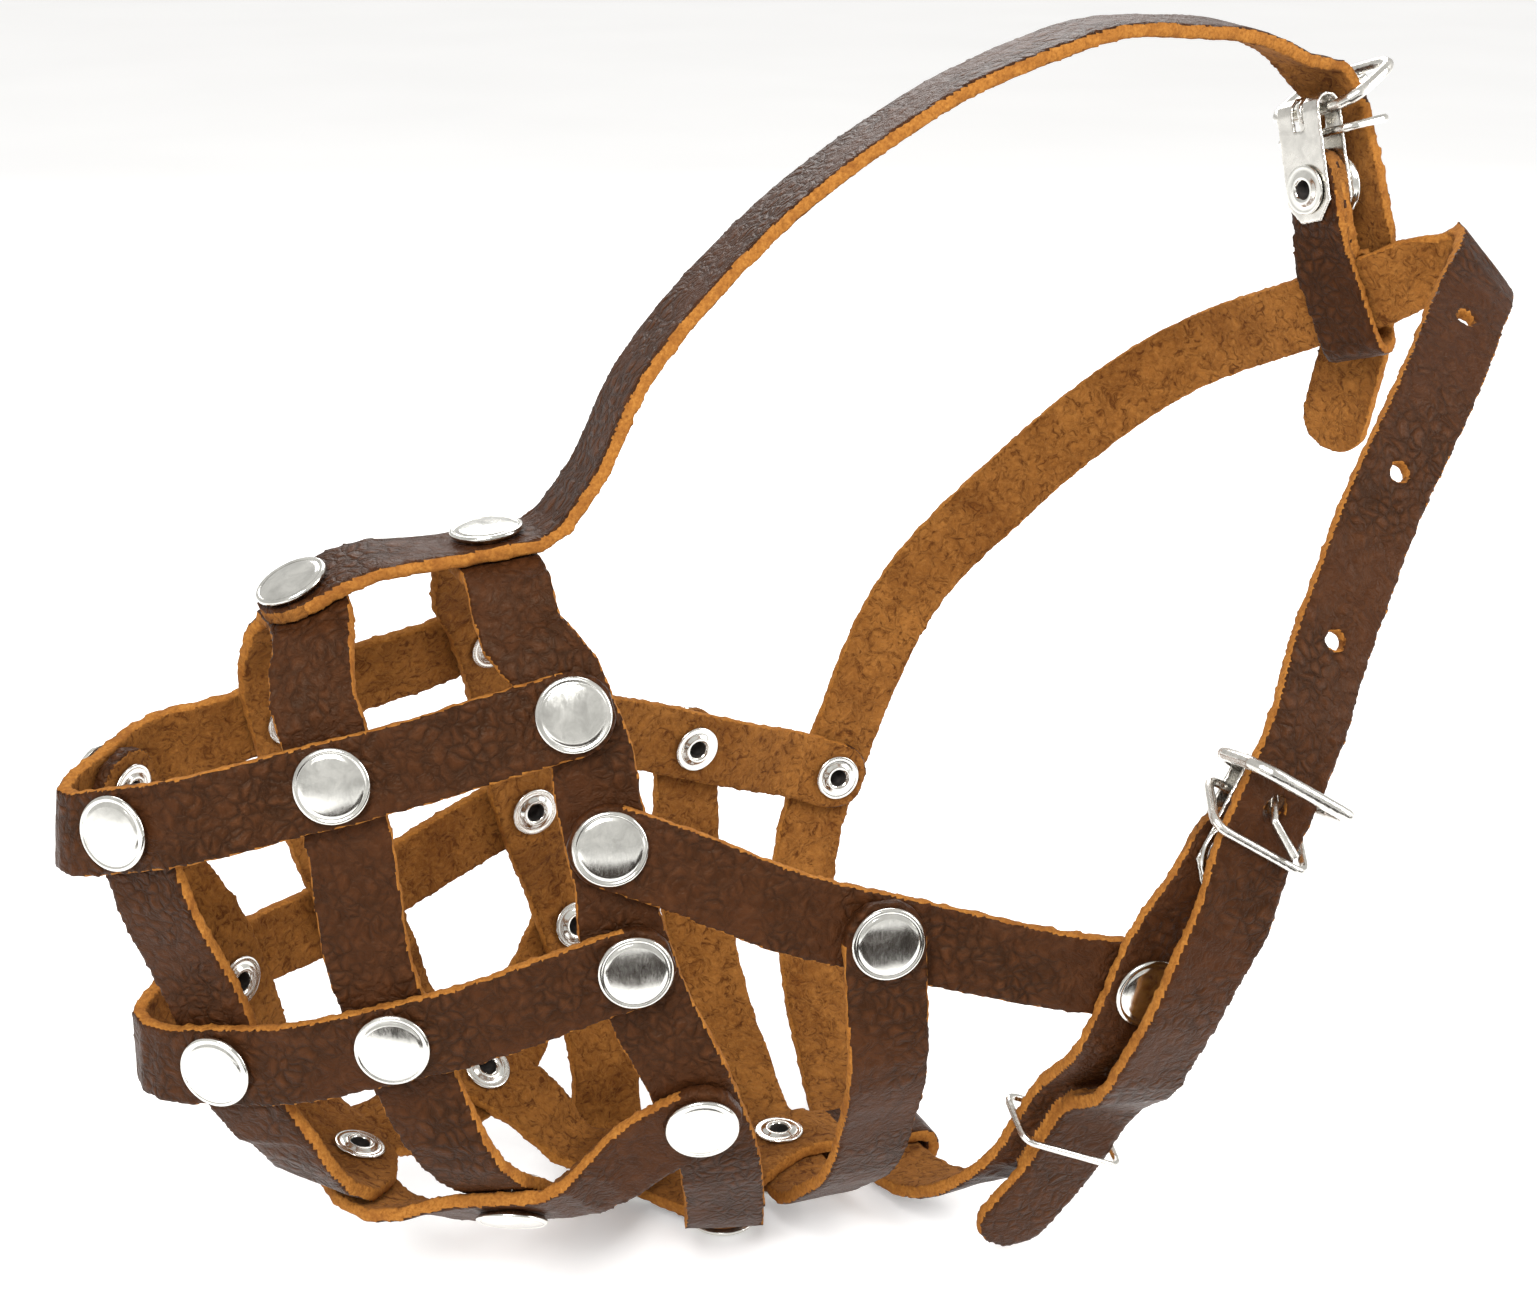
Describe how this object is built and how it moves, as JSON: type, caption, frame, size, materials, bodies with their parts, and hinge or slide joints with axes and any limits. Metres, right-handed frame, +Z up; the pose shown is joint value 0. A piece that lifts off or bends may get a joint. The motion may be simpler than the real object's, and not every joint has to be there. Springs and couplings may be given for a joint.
{
  "type": "basket muzzle",
  "caption": "Leather basket muzzle for a dog: riveted strap cage round the snout, with a buckled neck strap and a buckled forehead strap.",
  "frame": {"origin": "middle of the bounding box in plan, at the level of the lowest rivet caps and straps", "axes": "-X towards the dog's nose, +X towards the back of the neck, +Y towards the dog's right ear, +Z up, standing as it does on a table"},
  "size_m": [0.3052, 0.159, 0.2447],
  "materials": {
    "bridle_leather": "dark brown pebbled grain side, orange tan suede flesh side and cut edges",
    "cap_rivet_nickel": "bright nickel-plated steel, lightly scratched",
    "buckle_nickel": "nickel-plated cast and wire buckles, lightly tarnished"
  },
  "bodies": {
    "muzzle": {"cheek_strap_far": "bridle_leather", "cheek_strap_near": "bridle_leather", "chin_band": "bridle_leather", "forehead_clip": "buckle_nickel", "forehead_loop": "bridle_leather", "forehead_strap": "bridle_leather", "front_hoop": "bridle_leather", "link_loop": "bridle_leather", "lower_nose_band": "bridle_leather", "middle_hoop": "bridle_leather", "neck_clip": "buckle_nickel", "neck_strap": "bridle_leather", "rear_hoop": "bridle_leather", "rivet_basket_bottom_front": "cap_rivet_nickel", "rivet_basket_bottom_rear": "cap_rivet_nickel", "rivet_cheek_front_far": "cap_rivet_nickel", "rivet_cheek_front_near": "cap_rivet_nickel", "rivet_cheek_middle_far": "cap_rivet_nickel", "rivet_cheek_middle_near": "cap_rivet_nickel", "rivet_cheek_rear_far": "cap_rivet_nickel", "rivet_cheek_rear_near": "cap_rivet_nickel", "rivet_chin_front": "cap_rivet_nickel", "rivet_chin_middle_far": "cap_rivet_nickel", "rivet_chin_middle_near": "cap_rivet_nickel", "rivet_chin_rear_far": "cap_rivet_nickel", "rivet_chin_rear_near": "cap_rivet_nickel", "rivet_forehead_clip": "cap_rivet_nickel", "rivet_forehead_front": "cap_rivet_nickel", "rivet_forehead_rear": "cap_rivet_nickel", "rivet_lower_front_far": "cap_rivet_nickel", "rivet_lower_front_near": "cap_rivet_nickel", "rivet_lower_middle_far": "cap_rivet_nickel", "rivet_lower_middle_near": "cap_rivet_nickel", "rivet_lower_rear_far": "cap_rivet_nickel", "rivet_lower_rear_near": "cap_rivet_nickel", "rivet_neck_clip": "cap_rivet_nickel", "rivet_throat_bottom": "cap_rivet_nickel", "rivet_upper_front_far": "cap_rivet_nickel", "rivet_upper_front_near": "cap_rivet_nickel", "rivet_upper_middle_far": "cap_rivet_nickel", "rivet_upper_middle_near": "cap_rivet_nickel", "rivet_upper_rear_far": "cap_rivet_nickel", "rivet_upper_rear_near": "cap_rivet_nickel", "throat_hoop": "bridle_leather", "upper_nose_band": "bridle_leather"},
    "neck_frame": {"neck_buckle_frame": "buckle_nickel"},
    "neck_prong": {"neck_buckle_prong": "buckle_nickel"},
    "neck_keeper": {"neck_buckle_keeper": "buckle_nickel"},
    "forehead_frame": {"forehead_buckle_frame": "buckle_nickel"},
    "forehead_prong": {"forehead_buckle_prong": "buckle_nickel"},
    "forehead_keeper": {"forehead_buckle_keeper": "buckle_nickel"},
    "sliding_keeper": {"free_keeper": "buckle_nickel"}
  },
  "joints": [
    {"name": "neck_frame_tilt", "type": "hinge", "parent": "muzzle", "child": "neck_frame", "pos_m": [0.06149, -0.06052, 0.112], "axis": [0.8384, -0.1512, -0.5236], "range_deg": [-40, 28]},
    {"name": "neck_prong_tilt", "type": "hinge", "parent": "muzzle", "child": "neck_prong", "pos_m": [0.06149, -0.06052, 0.112], "axis": [0.8384, -0.1512, -0.5236], "range_deg": [-7.5, 2.5]},
    {"name": "neck_keeper_tilt", "type": "hinge", "parent": "muzzle", "child": "neck_keeper", "pos_m": [0.05878, -0.06112, 0.10784], "axis": [0.8384, -0.1512, -0.5236], "range_deg": [-3.5, 4.5]},
    {"name": "forehead_frame_tilt", "type": "hinge", "parent": "muzzle", "child": "forehead_frame", "pos_m": [0.11799, 0.02748, 0.223], "axis": [-0.178, 0.9465, -0.2693], "range_deg": [-60, 1]},
    {"name": "forehead_prong_tilt", "type": "hinge", "parent": "muzzle", "child": "forehead_prong", "pos_m": [0.11799, 0.02748, 0.223], "axis": [-0.178, 0.9465, -0.2693], "range_deg": [-1, 6.5]},
    {"name": "forehead_keeper_tilt", "type": "hinge", "parent": "muzzle", "child": "forehead_keeper", "pos_m": [0.11834, 0.02618, 0.21819], "axis": [-0.178, 0.9465, -0.2693], "range_deg": [-18, 16]},
    {"name": "keeper_slide", "type": "slide", "parent": "muzzle", "child": "sliding_keeper", "axis": [-0.4201, 0.3301, -0.8453], "range_m": [-0.0035, 0.004]}
  ]
}
